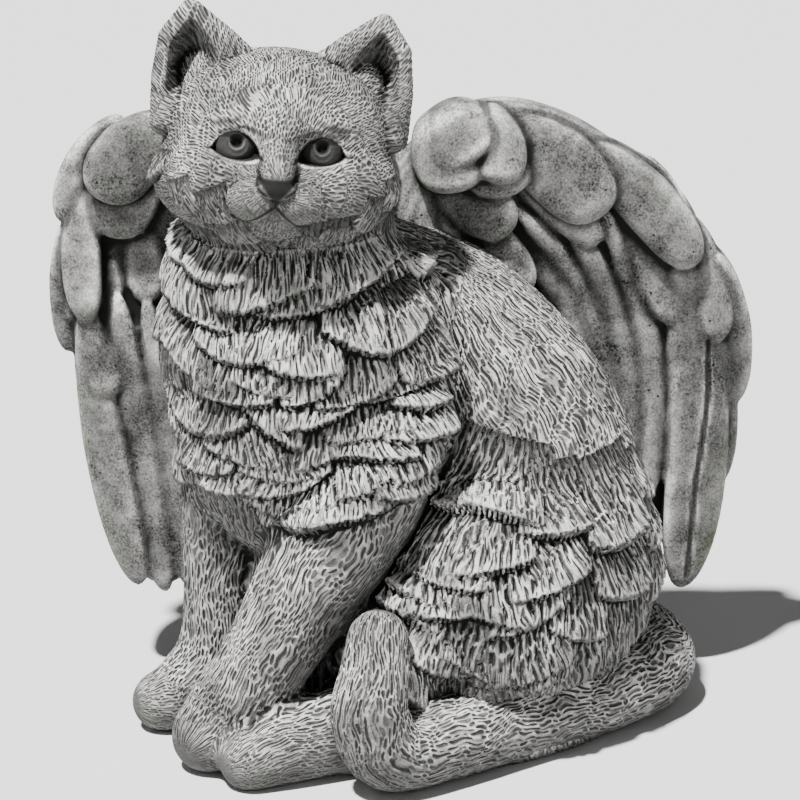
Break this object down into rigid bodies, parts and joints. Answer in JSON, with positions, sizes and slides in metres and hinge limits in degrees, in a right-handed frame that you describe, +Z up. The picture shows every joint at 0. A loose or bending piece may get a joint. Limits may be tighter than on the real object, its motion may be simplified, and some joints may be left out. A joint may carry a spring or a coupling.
{
  "type": "pet memorial statue",
  "caption": "Seated long-haired cat with folded angel wings and its tail curled round its feet, cast in one piece in weathered stone.",
  "frame": {"origin": "middle of the statue's footprint box, at the plane of its flat underside", "axes": "+Z up; the face, the chest and the fronts of the wings look towards -Y; the haunches are at +X"},
  "size_m": [0.2753, 0.1675, 0.2843],
  "materials": {
    "cast_stone": "weathered cast stone, matt, dark in the recesses"
  },
  "bodies": {
    "root": {"cat_angel_statue": "cast_stone"}
  },
  "joints": []
}
